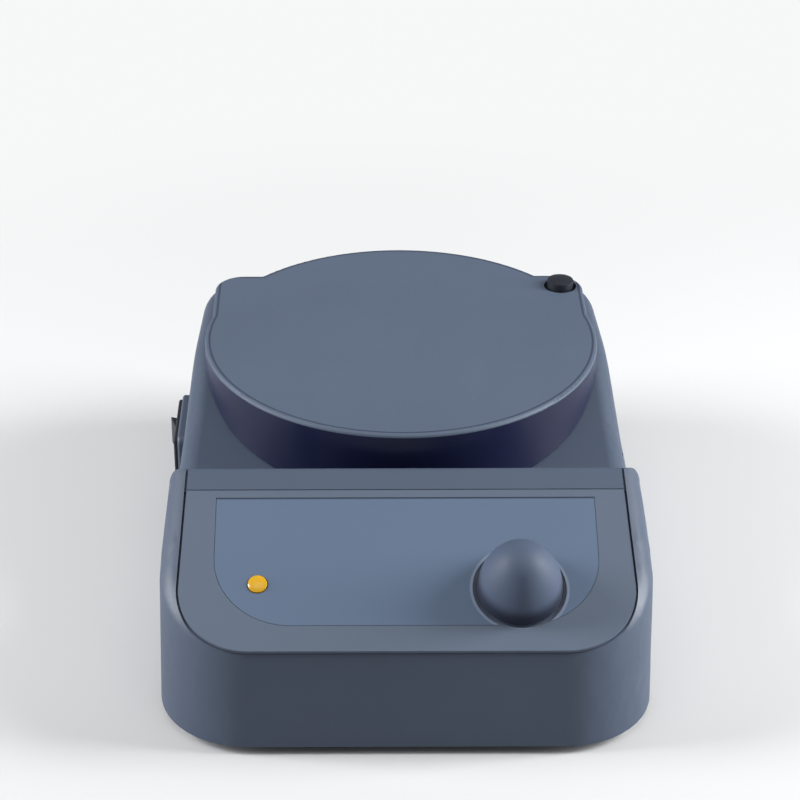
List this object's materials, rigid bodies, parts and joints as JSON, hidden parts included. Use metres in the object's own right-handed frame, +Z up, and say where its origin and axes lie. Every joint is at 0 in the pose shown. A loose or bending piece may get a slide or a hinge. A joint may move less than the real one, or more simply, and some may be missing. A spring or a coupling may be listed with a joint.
{
  "type": "hotplate stirrer",
  "caption": "Laboratory hotplate stirrer: wedge-shaped moulded casing with a raised round heated top, a sloping control panel with a knob, and a magnet drive inside.",
  "frame": {"origin": "on the table, under the middle of the casing's width and of the length from the front of the casing to the rear rim of the plate", "axes": "+Z up out of the table; +X to the right of someone who faces the control panel; -Y points out of the front, where the panel slopes down"},
  "size_m": [0.1579, 0.2034, 0.0772],
  "materials": {
    "casing_blue": "fine moulded grain",
    "panel_blue": "fine moulded grain",
    "film_blue": "satin film",
    "plate_coating": "satin ceramic coating",
    "knob_blue": "soft satin",
    "amber": "clear lens",
    "white_led": "clear",
    "black_plastic": "satin",
    "cover_black": "fine moulded grain",
    "rubber": "matt",
    "silicone": "matt",
    "steel": "machined",
    "zinc_steel": "bright zinc",
    "aluminium": "rolled sheet",
    "nickel": "nickel plate",
    "brass": "bright",
    "mica": "layered mineral sheet",
    "ceramic_fibre": "felted mat",
    "circuit_board": "solder mask",
    "core_steel": "stacked sheets",
    "coil_tape": "taped copper winding",
    "clear_glass": "clear"
  },
  "bodies": {
    "root": {"main_casing": "casing_blue", "bottom_cover": "cover_black", "rubber_feet": "rubber", "cover_screws": "zinc_steel", "heating_plate": "plate_coating", "plate_gasket": "silicone", "plate_screws": "zinc_steel", "heating_element": "mica", "insulation_pad": "ceramic_fibre", "heat_shield": "aluminium", "temperature_sensor": "steel", "stir_motor": "zinc_steel", "motor_bracket": "zinc_steel", "motor_screws": "zinc_steel", "bracket_screws": "zinc_steel", "control_panel": "panel_blue", "panel_film": "film_blue", "control_board": "circuit_board", "control_board_screws": "zinc_steel", "control_chip": "black_plastic", "encoder_body": "zinc_steel", "encoder_washer": "zinc_steel", "encoder_nut": "nickel", "indicator_lens": "amber", "indicator_led": "white_led", "power_board": "circuit_board", "power_board_screws": "zinc_steel", "transformer_core": "core_steel", "transformer_coil": "coil_tape", "smoothing_capacitor": "black_plastic", "triac_heat_sink": "aluminium", "heater_triac": "black_plastic", "terminal_block": "black_plastic", "mains_inlet": "black_plastic", "inlet_pins": "brass", "switch_housing": "black_plastic", "rod_socket": "steel"},
    "rotor": {"motor_shaft": "steel", "magnet_yoke": "steel", "yoke_set_screw": "steel", "drive_magnets": "nickel"},
    "plunger": {"encoder_plunger": "steel"},
    "knob": {"encoder_shaft": "steel", "control_knob": "knob_blue"},
    "rocker": {"switch_rocker": "black_plastic"},
    "rod_cap": {"rod_socket_cap": "black_plastic"},
    "fuse_holder": {"fuse_drawer": "black_plastic", "fuse": "clear_glass"}
  },
  "joints": [
    {"name": "stir_spin", "type": "hinge", "parent": "root", "child": "rotor", "pos_m": [0, 0.0342, 0.05], "axis": [0, 0, 1], "continuous": true},
    {"name": "knob_push", "type": "slide", "parent": "root", "child": "plunger", "axis": [0, 0.4195, -0.9078], "range_m": [0, 0.0008], "stiffness_N_per_m": 3000},
    {"name": "knob_turn", "type": "hinge", "parent": "plunger", "child": "knob", "pos_m": [0.0346, -0.07983, 0.04688], "axis": [0, -0.4195, 0.9078], "continuous": true},
    {"name": "power_switch", "type": "hinge", "parent": "root", "child": "rocker", "pos_m": [-0.0721, 0.0203, 0.04], "axis": [0, 0, -1], "range_deg": [0, 16]},
    {"name": "rod_cap_lift", "type": "slide", "parent": "root", "child": "rod_cap", "axis": [0, 0, 1], "range_m": [0, 0.02]},
    {"name": "fuse_drawer_slide", "type": "slide", "parent": "root", "child": "fuse_holder", "axis": [0, 1, 0], "range_m": [0, 0.016]}
  ]
}
